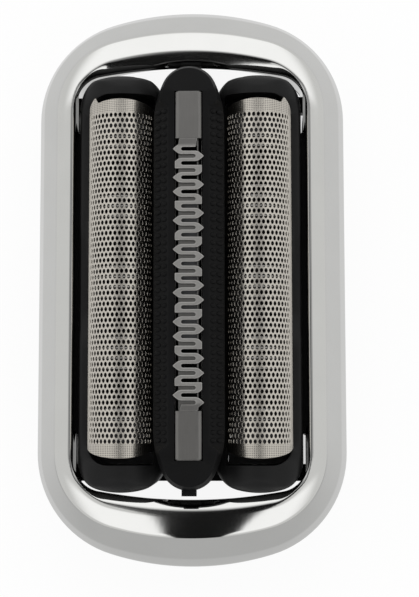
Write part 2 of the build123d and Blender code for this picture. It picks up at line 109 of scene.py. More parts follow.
class HolderSettings(bpy.types.PropertyGroup):
    """Form of the two hooded foil holders."""

    rim: length("Rim", "Width of the holder beside the foil", 1.1)
    corner: length("Corner", "Radius of the holder's corners", 3.1)
    end_bow: length("End bow", "Radius of the holder's bowed ends", 9.0)
    ledge: length("Ledge", "Reach of the ledge along the foot of the well", 0.4)
    ledge_height: length("Ledge height", "Height of that ledge, under the blade carrier", 0.7)
    clip_length: length("Clip length", "Length of the well kept free for the retainers", 3.1)
    window_corner: length("Window corner", "Radius of the window's corners beside the ring", 2.2)
    end_gap: length("End gap", "Gap between the foil's end and the hood", 0.75)
    rim_level: length("Rim level", "How far the rims lie below the foil's axis", 0.1)
    hood_radius: length("Hood radius", "Radius of the hoods across the holder", 4.85)
    shoulder: length("Shoulder", "Radius of the hoods' shoulders at the ends", 2.2)
    edge: length("Edge", "Rounding of the outer edge", 0.5)
    tint: colour("Black", "Colour of the satin black moulding", 0.0055, 0.0055, 0.0057)


class FoilSettings(bpy.types.PropertyGroup):
    """Sheet and holes of the two foils."""

    rows: IntProperty(name="Rows", description="Rows of holes along a foil", default=61, min=3)
    columns: IntProperty(name="Columns", description="Holes across the arch", default=17, min=3)
    row_pitch: length("Row pitch", "Distance between rows of holes", 0.557)
    column_pitch: length("Column pitch", "Distance between holes across the arch", 0.48)
    hole_width: length("Hole width", "Width of a hole across the arch", 0.35)
    hole_length: length("Hole length", "Length of a hole along the foil", 0.455)
    land: length("Land", "Rounding of the sheet round a hole", 0.014)
    sheet: length("Sheet", "Thickness of the sheet", 0.1)
    end_bow: length("End bow", "How far the ends draw back at the flanks", 1.1)
    wing: length("Wing", "Reach of the outer corner past the foil's upper end", 0.75)
    tint: colour("Nickel", "Colour of the warm foil metal", 0.6, 0.567, 0.514)


class BladeSettings(bpy.types.PropertyGroup):
    """Packs of curved blades under the foils."""

    count: IntProperty(name="Blades", description="Blades in one pack", default=29, min=3)
    thickness: length("Thickness", "Thickness of a blade", 0.14)
    tint: colour("Steel", "Colour of the blades and the comb", 0.36, 0.352, 0.34)


class TrimmerSettings(bpy.types.PropertyGroup):
    """Carrier, comb and blade of the middle trimmer."""

    half_width: length("Half width", "Half the width of the carrier's cap", 3.6)
    nose: length("Nose", "Length of the carrier's rounded nose", 6.0)
    nose_radius: length("Nose radius", "Radius of the nose's sides", 10.1)
    edge_height: length("Edge height", "Height of the cap's upright edge", 1.2)
    slope_height: length("Slope height", "Height of the ribbed flanks", 1.8)
    crown_half: length("Crown half width", "Half the width of the flat crown", 2.02)
    crown_inset: length("Crown inset", "How far the crown ends inside the nose", 0.8)
    channel_depth: length("Channel depth", "Depth of the channel for the comb", 2.3)
    ribs: IntProperty(name="Ribs", description="Ribs along one flank", default=43, min=2)
    rib_pitch: length("Rib pitch", "Distance between ribs", 0.79)
    turns: IntProperty(name="Turns", description="Turns of the comb's serpentine", default=36, min=3)
    turn_pitch: length("Turn pitch", "Distance between turns on one side", 1.455)
    serpentine_shift: length("Serpentine shift", "Offset of the serpentine along the comb", -0.126)
    plate_start: length("Plate start", "Distance of the plain ends from the middle", 13.7)
    neck: length("Neck", "Half the width between serpentine and plain end", 0.93)
    slot: length("Slot", "Width of the comb's slots", 0.36)
    slot_end: length("Slot end", "Distance of a slot's closed end from the middle", 0.72)
    fold: length("Fold", "Radius of the comb's folded edges", 0.46)


class StageSettings(bpy.types.PropertyGroup):
    """Camera and floor."""

    distance: length("Distance", "Distance from the camera to the foils' crowns", 150.0)
    tilt: angle("Tilt", "Camera's lean from straight above towards the lower end", 6.0)
    lean: angle("Lean", "Camera's lean from straight above towards the right", 1.7)
    lens: FloatProperty(name="Lens", description="Focal length in millimetres", default=89.1, min=1)
    floor: colour("Floor", "Colour of the floor", 0.92, 0.92, 0.92)


class HeadSettings(bpy.types.PropertyGroup):
    """All settings of the foil head."""

    ring: PointerProperty(type=RingSettings)
    holder: PointerProperty(type=HolderSettings)
    foil: PointerProperty(type=FoilSettings)
    blade: PointerProperty(type=BladeSettings)
    trimmer: PointerProperty(type=TrimmerSettings)
    stage: PointerProperty(type=StageSettings)


class Signal:
    """An output of a node, which Python's operators join to Math nodes."""

    def __init__(self, graph, socket):
        self.graph = graph
        self.socket = socket

    def __add__(self, other):
        return self.graph.math("ADD", self, other)

    def __sub__(self, other):
        return self.graph.math("SUBTRACT", self, other)

    def __rsub__(self, other):
        return self.graph.math("SUBTRACT", other, self)

    def __mul__(self, other):
        return self.graph.math("MULTIPLY", self, other)

    def __truediv__(self, other):
        return self.graph.math("DIVIDE", self, other)

    def __abs__(self):
        return self.graph.math("ABSOLUTE", self)

    __radd__ = __add__


class Graph:
    """The node tree of a finish or of the surroundings."""

    def __init__(self, tree):
        self.tree = tree
        tree.nodes.clear()

    def node(self, kind, settings=None, sockets=None, out=0):
        """Add a node, set its settings and then its sockets, and hand back one of its outputs."""
        made = self.tree.nodes.new(kind)
        for name, value in (settings or {}).items():
            setattr(made, name, value)
        for name, value in (sockets or {}).items():
            if isinstance(value, Signal):
                self.tree.links.new(value.socket, made.inputs[name])
            else:
                made.inputs[name].default_value = value
        return Signal(self, made.outputs[out]) if made.outputs else None

    def math(self, operation, *values):
        """Math node on numbers."""
        return self.node("ShaderNodeMath", {"operation": operation}, dict(enumerate(values)))

    def mix(self, share, first, second):
        """Colour between two colours."""
        first, second = (c if isinstance(c, Signal) else (*c, 1) for c in (first, second))
        return self.node("ShaderNodeMix", {"data_type": "RGBA"}, {0: share, 6: first, 7: second}, out=2)

    def place(self, *scale):
        """Place on the piece in the shared frame, stretched along each axis."""
        spot = self.node("ShaderNodeTexCoord", out="Object")
        return self.node("ShaderNodeVectorMath", {"operation": "MULTIPLY"}, {0: spot, 1: scale})

    def noise(self, detail, *scale):
        """Noise of the given detail, stretched along each axis, in cycles a metre."""
        sockets = {"Vector": self.place(*scale), "Scale": 1.0, "Detail": detail}
        return self.node("ShaderNodeTexNoise", sockets=sockets, out="Fac")

    def ramp(self, value, low, high):
        """Value carried smoothly from low to high onto nought to one."""
        settings = {"interpolation_type": "SMOOTHSTEP"}
        return self.node("ShaderNodeMapRange", settings, {"Value": value, "From Min": low, "From Max": high})

    def axis(self, name):
        """One coordinate of the place on the piece."""
        spot = self.node("ShaderNodeTexCoord", out="Object")
        return self.node("ShaderNodeSeparateXYZ", sockets={0: spot}, out=name)

    def bump(self, height, depth, strength=1.0):
        """Normal of a relief of the given depth in metres."""
        return self.node("ShaderNodeBump", sockets={"Height": height, "Distance": depth, "Strength": strength})


def finish(name, paint, *shades):
    """Material whose Principled shader takes the sockets that the paint gives."""
    material = bpy.data.materials.new(name)
    material.use_nodes = True
    graph = Graph(material.node_tree)
    shader = graph.node("ShaderNodeBsdfPrincipled", sockets=paint(graph, *shades))
    graph.node("ShaderNodeOutputMaterial", sockets={"Surface": shader})
    return material


def scaled(shade, share):
    """A colour made darker or lighter."""
    return tuple(min(channel * share, 1.0) for channel in shade)


def bright_plating(graph, shade):
    """Mirror plating with a faint haze, a trace of orange peel and hairline wipe marks."""
    haze = graph.noise(3, 260, 260, 260)
    peel = graph.noise(2, 1500, 1500, 1500)
    wipe = graph.noise(2, 9000, 500, 9000)
    return {
        "Base Color": graph.mix(haze, scaled(shade, 0.96), scaled(shade, 1.03)),
        "Metallic": 1.0,
        "Roughness": 0.035 + haze * 0.03 + wipe * 0.02,
        "Normal": graph.bump(peel, 0.000002, 0.25),
    }


def satin_black(graph, shade, gloss):
    """Moulded satin black with spark-eroded grain and a slight drift in gloss."""
    grain = graph.noise(4, 9000, 9000, 9000)
    cloud = graph.noise(2, 420, 420, 420)
    return {
        "Base Color": graph.mix(cloud, scaled(shade, 0.75), scaled(shade, 1.35)),
        "Roughness": 0.36 + cloud * 0.1 + grain * 0.06,
        "Specular IOR Level": gloss,
        "Normal": graph.bump(grain, 0.000012, 0.5),
    }


def foil_nickel(graph, shade):
    """Warm electroformed sheet, rolled along its length, with a fine lattice on its plain ends."""
    lattice = 17000
    band_start, band_full = foil_high.y - 1.5 * MM, foil_high.y - 1.3 * MM
    flank_start, flank_full = foil_axis + 2.2 * MM, foil_axis + 3.2 * MM
    roll = graph.noise(4, 7000, 900, 7000)
    cloud = graph.noise(2, 500, 500, 500)
    across, along = graph.axis("X"), graph.axis("Y")
    plain = graph.ramp(abs(along), band_start, band_full)
    flank = graph.ramp(abs(across), flank_start, flank_full)
    lines = [graph.math("SINE", (across + along * lean) * lattice) for lean in (1, -1)]
    pits = graph.ramp(lines[0] * lines[1], 0.0, 0.5) * plain
    sheet = graph.mix(cloud, scaled(shade, 0.92), scaled(shade, 1.05))
    return {
        "Base Color": graph.mix(pits * 0.8, sheet, scaled(shade, 0.2)),
        "Metallic": 1.0 - flank * 0.7,
        "Roughness": 0.2 + roll * 0.1 + flank * 0.3,
        "Normal": graph.bump(roll - pits, 0.000006, 0.5),
    }


def brushed_steel(graph, shade, plate_start=1.0):
    """Stainless sheet brushed along its length, darker past the start of the comb's plain ends.

    Pieces without plain ends leave that start a metre away.
    """
    # Share by which the comb's plain ends, and the neck before them, are mixed towards black.
    darkened = 0.48
    dark_start, dark_full = plate_start - 0.9 * MM, plate_start - 0.5 * MM
    brush = graph.noise(5, 16000, 420, 16000)
    cloud = graph.noise(2, 600, 600, 600)
    plate = graph.ramp(abs(graph.axis("Y")), dark_start, dark_full)
    steel = graph.mix(brush * 0.6 + cloud * 0.4, scaled(shade, 0.82), scaled(shade, 1.12))
    return {
        "Base Color": graph.mix(plate * darkened, steel, (0, 0, 0)),
        "Metallic": 1.0,
        "Roughness": 0.3 + brush * 0.1,
        "Normal": graph.bump(brush, 0.000004, 0.35),
    }


def grey_moulding(graph, shade):
    """Plain dark grey moulding with a dull, slightly flowed surface."""
    grain = graph.noise(3, 6000, 6000, 6000)
    flow = graph.noise(2, 700, 240, 700)
    return {
        "Base Color": graph.mix(flow, scaled(shade, 0.8), scaled(shade, 1.2)),
        "Roughness": 0.5 + grain * 0.12,
        "Normal": graph.bump(grain, 0.00001, 0.4),
    }


class Shell:
    """Points and faces of one piece, gathered row by row in metres."""

    def __init__(self):
        self.points = []
        self.faces = []

    def row(self, points):
        """Add a row of points and hand back their numbers."""
        start = len(self.points)
        self.points.extend(Vector(point) for point in points)
        return list(range(start, len(self.points)))

    def span(self, first, second, closed=True):
        """Join two rows of one length with four-sided faces."""
        count = len(first)
        for number in range(count if closed else count - 1):
            after = (number + 1) % count
            self.faces.append((first[number], first[after], second[after], second[number]))

    def loft(self, rows, closed=True, lids=False):
        """Join rows one after another, with a face over the first and the last where asked."""
        numbers = [self.row(points) for points in rows]
        for first, second in zip(numbers, numbers[1:]):
            self.span(first, second, closed)
        if lids:
            self.faces.append(tuple(numbers[0]))
            self.faces.append(tuple(numbers[-1]))
        return numbers

    def block(self, low, high, chamfer):
        """Box with chamfered edges on its top and foot."""
        rows = []
        for level, inset in ((low.z, chamfer), (low.z + chamfer, 0), (high.z - chamfer, 0), (high.z, chamfer)):
            left, right = low.x + inset, high.x - inset
            near, far = low.y + inset, high.y - inset
            rows.append([(left, near, level), (right, near, level), (right, far, level), (left, far, level)])
        self.loft(rows, lids=True)

    def piece(self, name, material, sharp=38):
        """Mesh object with smooth shading between sharp edges."""
        mesh = bpy.data.meshes.new(name)
        mesh.from_pydata(self.points, [], self.faces)
        form = bmesh.new()
        form.from_mesh(mesh)
        bmesh.ops.remove_doubles(form, verts=form.verts, dist=MM / 10000)
        bmesh.ops.recalc_face_normals(form, faces=form.faces)
        form.to_mesh(mesh)
        form.free()
        return mesh_piece(name, mesh, material, sharp)


def mesh_piece(name, mesh, material, sharp):
    """Object of a mesh, shaded smooth between edges sharper than an angle in degrees."""
    mesh.shade_smooth()
    mesh.set_sharp_from_angle(angle=math.radians(sharp))
    mesh.materials.clear()
    mesh.materials.append(material)
    made = bpy.data.objects.new(name, mesh)
    bpy.context.scene.collection.objects.link(made)
    return made


def dress(made, body, slot, *nodes):
    """Let a piece ride on a body and stand for solids there."""
    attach(made, body)
    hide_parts(*nodes)


def smooth(value, low, high):
    """Share from nought at low to one at high, eased at both ends."""
    share = min(max((value - low) / (high - low), 0), 1)
    return share * share * (3 - 2 * share)


def mix_rows(first, second, share):
    """Row of points between two rows."""
    return [Vector(a).lerp(Vector(b), share) for a, b in zip(first, second)]


def at_level(row, level):
    """Row of points moved to a level."""
    return [Vector((point[0], point[1], level)) for point in row]


def side_and_corner(half_width, straight, corner, sweep, steps):
    """Start of an outline's quarter: half a straight side and the arc of its corner."""
    side_steps, corner_steps, _ = steps
    run = half_width - corner
    quarter = [(half_width, straight * step / side_steps) for step in range(side_steps)]
    for step in range(corner_steps):
        turn = sweep * step / corner_steps
        quarter.append((run + corner * math.cos(turn), straight + corner * math.sin(turn)))
    return quarter


def mirrored(quarter, level):
    """Closed outline at a level, from its quarter between the right side and the far end."""
    upper = quarter + [(-x, y) for x, y in reversed(quarter[:-1])]
    lower = [(x, -y) for x, y in reversed(upper[1:-1])]
    return [Vector((x, y, level)) for x, y in upper + lower]


def oval_row(half_width, half_length, rise, corner, level, steps=(10, 18, 14)):
    """Outline with straight sides and ends of three tangent arcs."""
    end_steps = steps[2]
    run = half_width - corner
    crown = (run**2 + rise**2 - corner**2) / (2 * (rise - corner))
    meet = math.atan2(run / (crown - corner), (crown - rise) / (crown - corner))
    quarter = side_and_corner(half_width, half_length - rise, corner, math.pi / 2 - meet, steps)
    for step in range(end_steps + 1):
        turn = meet * (1 - step / end_steps)
        quarter.append((crown * math.sin(turn), half_length - crown + crown * math.cos(turn)))
    return mirrored(quarter, level)


def frame_row(half_width, half_length, corner, level, steps=(10, 18, 14)):
    """Rounded rectangle with as many points as an oval row of the same steps."""
    end_steps = steps[2]
    run = half_width - corner
    quarter = side_and_corner(half_width, half_length - corner, corner, math.pi / 2, steps)
    quarter += [(run * (1 - step / end_steps), half_length) for step in range(end_steps + 1)]
    return mirrored(quarter, level)


def rounded(profile, radius, steps=5):
    """Open profile of flat points with its inner corners rounded."""
    points = [Vector(profile[0])]
    for before, corner, after in zip(profile, profile[1:], profile[2:]):
        before, corner, after = Vector(before), Vector(corner), Vector(after)
        inward = (before - corner).normalized()
        outward = (after - corner).normalized()
        opening = inward.angle(outward)
        reach = min(radius / math.tan(opening / 2), (before - corner).length / 2, (after - corner).length / 2)
        start = corner + inward * reach
        end = corner + outward * reach
        for step in range(steps + 1):
            share = step / steps
            points.append(start * (1 - share) ** 2 + corner * 2 * share * (1 - share) + end * share**2)
    points.append(Vector(profile[-1]))
    return points


class HEAD_OT_plated_ring(bpy.types.Operator):
    """Build the bright ring round the head"""

    bl_idname = "foil_head.plated_ring"
    bl_label = "Plated Ring"

    def execute(self, context):
        ring = context.scene.foil_head.ring
        half_width, half_length, height = ring_high.x, ring_high.y, ring_high.z
        lip_level = height - ring.lip_depth
        deck_level = height - ring.deck
        opening_width = half_width - ring.side_slope - ring.crest - ring.side_lip
        opening_length = half_length - ring.end_slope - ring.crest - ring.end_lip

        def outer(inset_side, inset_end, level):
            """Outline of the outer slope, drawn in from the widest outline."""
            rise = ring.end_rise - inset_end
            width, reach = half_width - inset_side, half_length - inset_end
            return oval_row(width, reach, rise, rise - ring.end_crown, level)

        def inner(roll_side, roll_end, level):
            """Outline of the opening, rolled back from its narrowest."""
            crest_rise = ring.end_rise - ring.end_slope
            rise = ring.opening_rise + (crest_rise - ring.opening_rise) * roll_end / ring.end_lip
            width = opening_width + roll_side
            return oval_row(width, opening_length + roll_end, rise, rise - ring.end_crown, level)

        base = ring.base_inset
        edge, tuck = 0.15 * MM, 0.2 * MM
        skirt_steps, slope_round, slope_steps, lip_steps = 4, 0.25, 8, 16
        rows = [outer(base + edge, base + edge, 0), outer(base, base, edge)]
        for step in range(1, skirt_steps + 1):
            share = 1 - math.sin(math.pi / 2 * step / skirt_steps)
            rows.append(outer(base * share, base * share, ring.widest * step / skirt_steps))
        slope = [(0, 0), (0, 0.22), (0.19, 0.53), (0.64, 0.914), (1, 1)]
        for inset, rise in rounded(slope, slope_round, slope_steps)[1:]:
            level = ring.widest + (height - ring.widest) * rise
            rows.append(outer(ring.side_slope * inset, ring.end_slope * inset, level))
        for step in range(lip_steps, -1, -1):
            turn = math.pi / 2 * step / lip_steps
            roll = 1 - math.cos(turn)
            level = lip_level + ring.lip_depth * math.sin(turn)
            rows.append(inner(ring.side_lip * roll, ring.end_lip * roll, level))
        rows.append(inner(0, 0, deck_level))
        recess_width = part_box("chassis")[1].x - ring.wall
        narrow = opening_width - tuck
        for level in (deck_level, ring.widest):
            recess = inner(recess_width - opening_width, ring.end_lip, level)
            for point in recess:
                if abs(point.y) > ring.rail_end:
                    point.x = max(min(point.x, narrow), -narrow)
            rows.append(recess)
        hollow = base + ring.wall
        rows.append(outer(hollow, hollow, ring.widest))
        rows.append(outer(hollow, hollow, edge))
        rows.append(outer(hollow - edge, hollow - edge, 0))
        shell = Shell()
        numbers = shell.loft(rows)
        shell.span(numbers[-1], numbers[0])
        material = finish("Bright plating", bright_plating, ring.tint)
        dress(shell.piece("plated_ring", material, 50), "housing", "chrome_plate", "chrome_frame")
        return {"FINISHED"}


class HEAD_OT_foil_holders(bpy.types.Operator):
    """Build the two hooded holders of the foils"""

    bl_idname = "foil_head.foil_holders"
    bl_label = "Foil Holders"

    def execute(self, context):
        holder = context.scene.foil_head.holder
        half_width = foil_radius + holder.rim
        half_length = (holder_high.y - holder_low.y) / 2
        middle_y = (holder_high.y + holder_low.y) / 2
        fit, seat_width, swell = 0.02 * MM, 0.25 * MM, 2.1 * MM
        end_lift, crown_lift, sag = 0.1 * MM, 0.12 * MM, 0.25
        corner_steps, end_steps, side_steps, face_steps = 18, 12, 24, 16
        window = foil_radius + fit
        window_length = foil_high.y + holder.end_gap
        rim_top = arch_level - holder.rim_level
        hood_level = holder_high.z - holder.hood_radius
        seat = foil_low.z - fit
        cavity = foil_radius - seat_width
        foot = holder_low.z
        corner_reach = holder.end_bow - holder.corner
        corner_rise = holder.end_bow - math.sqrt(corner_reach**2 - (half_width - holder.corner) ** 2)

        def arc(centre, radius, start, sweep, steps):
            """Places on an arc, with its first and last."""
            turns = [start + sweep * step / steps for step in range(steps + 1)]
            return [(centre[0] + radius * math.cos(t), centre[1] + radius * math.sin(t)) for t in turns]

        def outline(width, reach, shift, corners, bow):
            """Rounded plan of the holder or its window, from the outer side round by the upper end."""
            places = []
            for quarter, (across, along) in enumerate(((1, 1), (-1, 1), (-1, -1), (1, -1))):
                corner = corners[quarter]
                meet = math.asin((width - corner) / (bow - corner))
                rise = bow - (bow - corner) * math.cos(meet)
                middle = (across * (width - corner), shift + along * (reach - rise))
                start = math.pi / 2 * quarter
                if quarter % 2 == 0:
                    places += arc(middle, corner, start, math.pi / 2 - meet, corner_steps)
                    top = (0, shift + along * (reach - bow))
                    other = math.asin((width - corners[quarter + 1]) / (bow - corners[quarter + 1]))
                    places += arc(top, bow, start + math.pi / 2 - meet, meet + other, end_steps)[1:-1]
                else:
                    places += arc(middle, corner, start + meet, math.pi / 2 - meet, corner_steps)
                    side, before = places[-1]
                    run = -before + 2 * shift - before
                    places += [(side, before + run * step / side_steps) for step in range(1, side_steps)]
            return places

        def end_distance(q, y):
            """Distance from a place on the holder to its nearer bowed end."""
            return holder.end_bow - math.hypot(q, abs(y - middle_y) - half_length + holder.end_bow)

        def gap(q, y):
            """Distance from a place on the holder to its outer edge."""
            nearest = min(half_width - abs(q), end_distance(q, y))
            past_side = abs(q) - half_width + holder.corner
            past_end = abs(y - middle_y) - half_length + corner_rise
            if past_side > 0 and past_end > 0:
                nearest = min(nearest, holder.corner - math.hypot(past_side, past_end))
            return nearest

        def eased(distance, radius):
            """Drop of a rounded edge at a distance from it."""
            short = max(radius - max(distance, 0), 0)
            return radius - math.sqrt(radius**2 - short**2)

        def height(q, y):
            """Level of the holder's upper face: rims beside the foil that swell into hoods."""
            arch = hood_level + math.sqrt(max(holder.hood_radius**2 - q**2, 0))
            fall = eased(end_distance(q, y) + end_lift, holder.shoulder)
            hood = min(arch, holder_high.z - fall + crown_lift) - fall * sag
            share = smooth(abs(y), window_length - swell, window_length)
            rim = min(rim_top, arch)
            return rim + (hood - rim) * share - eased(gap(q, y), holder.edge)

        plan = outline(half_width, half_length, middle_y, [holder.corner] * 4, holder.end_bow)
        small, straight = 0.3 * MM, 1.0
        corners = (holder.window_corner, small, small, holder.window_corner)
        hole = outline(window, window_length, 0, corners, straight)
        well = outline(cavity, window_length, 0, [small] * 4, straight)
        ledge = cavity - holder.ledge
        clips = window_length - holder.clip_length
        sill = [(max(min(q, ledge), -ledge) if abs(y) < clips else q, y) for q, y in well]
        material = finish("Satin black holder", satin_black, holder.tint, 0.2)
        edge, ledge_top = 0.1 * MM, foot + holder.ledge_height
        lug_places, lug_half, lug_root = (-9.5 * MM, 9.5 * MM), 1.0 * MM, 0.3 * MM
        lug_foot, lug_top = 9.75 * MM, 10.55 * MM
        for side, sign in SIDES:
            shell = Shell()

            def put(places, level=None):
                """Row of points on the holder, at a level or on its upper face."""
                levels = [height(q, y) if level is None else level for q, y in places]
                return [(sign * (foil_axis + q), y, z) for (q, y), z in zip(places, levels)]

            rows = [put(plan, foot), put(plan, foot + edge)]
            for step in range(face_steps + 1):
                share = (1 - math.cos(math.pi * step / face_steps)) / 2
                pairs = zip(plan, hole)
                rows.append(put([(a + (c - a) * share, b + (d - b) * share) for (a, b), (c, d) in pairs]))
            rows += [put(hole, seat), put(well, seat)]
            rows += [put(well, ledge_top), put(sill, ledge_top), put(sill, foot)]
            numbers = shell.loft(rows)
            shell.span(numbers[-1], numbers[0])
            lug_low, lug_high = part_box(f"{side}_foil_holder")
            outside = lug_high.x if sign > 0 else lug_low.x
            near, far = sorted((sign * (foil_axis + half_width - lug_root), outside))
            for middle in lug_places:
                low = Vector((near, middle - lug_half, lug_foot))
                high = Vector((far, middle + lug_half, lug_top))
                shell.block(low, high, edge)
            made = shell.piece(f"{side}_hooded_holder", material, 44)
            dress(made, f"{side}_foil_unit", "black_plastic", f"{side}_foil_holder")
        return {"FINISHED"}


class HEAD_OT_foils(bpy.types.Operator):
    """Build the two perforated foils"""

    bl_idname = "foil_head.foils"
    bl_label = "Foils"

    def execute(self, context):
        foil = context.scene.foil_head.foil
        half_length = foil_high.y
        material = finish("Warm foil nickel", foil_nickel, foil.tint)
        start_row = -foil.rows * foil.row_pitch / 2
        half_pitch = foil.column_pitch / foil_radius / 2
        hole_angles = (225, 247.5, 270, 292.5, 315, 0, 45, 67.5, 90, 112.5, 135, 180)
        hole_turns = [math.radians(degrees) for degrees in hole_angles]
        wing_fade, flank_steps = 0.8, 5
        skins = (0.0, foil.sheet)
        wing_start, wing_full = math.radians(43), math.radians(51)
        for side, sign in SIDES:
            shell = Shell()

            def spot(turn, y, depth):
                """Place on the arch at an angle from the crown, positive outwards."""
                radius = foil_radius - depth
                across = sign * (foil_axis + radius * math.sin(turn))
                return (across, y, arch_level + radius * math.cos(turn))

            def end_reach(turn, end):
                """Length of the sheet at an angle: short at the flanks, with a wing at the upper corner."""
                rise = min(max((turn - wing_start) / (wing_full - wing_start), 0), 1)
                fall = 1 - wing_fade * max(turn - wing_full, 0) / (math.pi / 2 - wing_full)
                wing = foil.wing * rise * fall if end > 0 else 0
                return half_length - foil.end_bow * (1 - math.cos(turn)) + wing

            corners = {}

            def corner(half, row, skin):
                """Number of a shared corner of the brick pattern on one skin."""
                key = (half, row, skin)
                if key not in corners:
                    turn = (half - foil.columns) * half_pitch
                    place = spot(turn, start_row + row * foil.row_pitch, skins[skin])
                    corners[key] = shell.row([place])[0]
                return corners[key]

            for row in range(foil.rows):
                shift = row % 2
                for column in range(foil.columns - shift):
                    left = 2 * column + shift
                    middle_turn = (left + 1 - foil.columns) * half_pitch
                    middle_y = start_row + (row + 0.5) * foil.row_pitch
                    throat = []
                    for skin, depth in enumerate(skins):
                        brick = [corner(left + step, row, skin) for step in (0, 1, 2)]
                        brick += [corner(left + step, row + 1, skin) for step in (2, 1, 0)]
                        rims = [(0.0, depth)]
                        if skin == 0:
                            rims = [(foil.land, depth), (0.0, depth + foil.land)]
                        rings = []
                        for grow, level in rims:
                            ring = []
                            for turn in hole_turns:
                                across = (foil.hole_width / 2 + grow) * math.cos(turn) / foil_radius
                                along = (foil.hole_length / 2 + grow) * math.sin(turn)
                                ring.append(spot(middle_turn + across, middle_y + along, level))
                            rings.append(shell.row(ring))
                        for edge in range(6):
                            after = (edge + 1) % 6
                            ring = rings[0]
                            shell.faces.append(
                                (brick[edge], brick[after], ring[2 * after], ring[2 * edge + 1], ring[2 * edge])
                            )
                        if skin == 0:
                            shell.span(rings[0], rings[1])
                        throat.append(rings[-1])
                    shell.span(throat[0], throat[1])
                if shift:
                    for skin in (0, 1):
                        for left in (0, 2 * foil.columns - 1):
                            near = [corner(half, row, skin) for half in (left, left + 1)]
                            far = [corner(half, row + 1, skin) for half in (left + 1, left)]
                            shell.faces.append((*near, *far))
            reach = foil.columns * half_pitch
            flank_turns = [
                reach + (math.pi / 2 - reach) * step / flank_steps for step in range(flank_steps + 1)
            ]
            end_turns = [(half - foil.columns) * half_pitch for half in range(2 * foil.columns + 1)]
            start = abs(start_row)
            places = [start_row + row * foil.row_pitch for row in range(foil.rows + 1)]
            for skin, depth in enumerate(skins):
                for end, row in ((-1, 0), (1, foil.rows)):
                    near = [corner(half, row, skin) for half in range(2 * foil.columns + 1)]
                    for share in (0.5, 1.0):
                        line = []
                        for turn in end_turns:
                            edge = end_reach(turn, end)
                            line.append(spot(turn, end * (start + (edge - start) * share), depth))
                        far = shell.row(line)
                        shell.span(near, far, closed=False)
                        near = far
                for flank in (-1, 1):
                    lines = []
                    for turn in flank_turns:
                        low_end = -end_reach(flank * turn, -1)
                        high_end = end_reach(flank * turn, 1)
                        before = [low_end, (low_end + places[0]) / 2]
                        after = [(high_end + places[-1]) / 2, high_end]
                        lines.append([spot(flank * turn, y, depth) for y in before + places + after])
                    foot_line = [Vector((p[0], p[1], foil_low.z)) for p in lines[-1]]
                    shell.loft(lines + [foot_line], closed=False)
            made = shell.piece(f"{side}_fine_foil", material, 40)
            dress(made, f"{side}_foil_unit", "foil_metal", f"{side}_foil")
        return {"FINISHED"}


class HEAD_OT_blade_packs(bpy.types.Operator):
    """Build the packs of curved blades under the foils"""

    bl_idname = "foil_head.blade_packs"
    bl_label = "Blade Packs"

    def execute(self, context):
        blade = context.scene.foil_head.blade
        low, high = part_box("right_blades")
        radius = high.z - arch_level
        span = math.asin((high.x - low.x) / 2 / radius)
        root, arc_steps = 1.8 * MM, 24
        reach = high.y
        material = finish("Blade steel", brushed_steel, blade.tint)
        for side, sign in SIDES:
            shell = Shell()
            for number in range(blade.count):
                middle = reach * (2 * number / (blade.count - 1) - 1)
                outline = []
                for step in range(arc_steps + 1):
                    turn = span * (2 * step / arc_steps - 1)
                    outline.append((radius * math.sin(turn), arch_level + radius * math.cos(turn)))
                outline += [(root, low.z), (-root, low.z)]
                rows = []
                for face in (-0.5, 0.5):
                    y = min(max(middle + face * blade.thickness, -reach), reach)
                    rows.append([(sign * foil_axis + q, y, level) for q, level in outline])
                shell.loft(rows, lids=True)
            made = shell.piece(f"{side}_blade_pack", material, 30)
            dress(made, f"{side}_cutter", "blade_steel", f"{side}_blades")
        return {"FINISHED"}


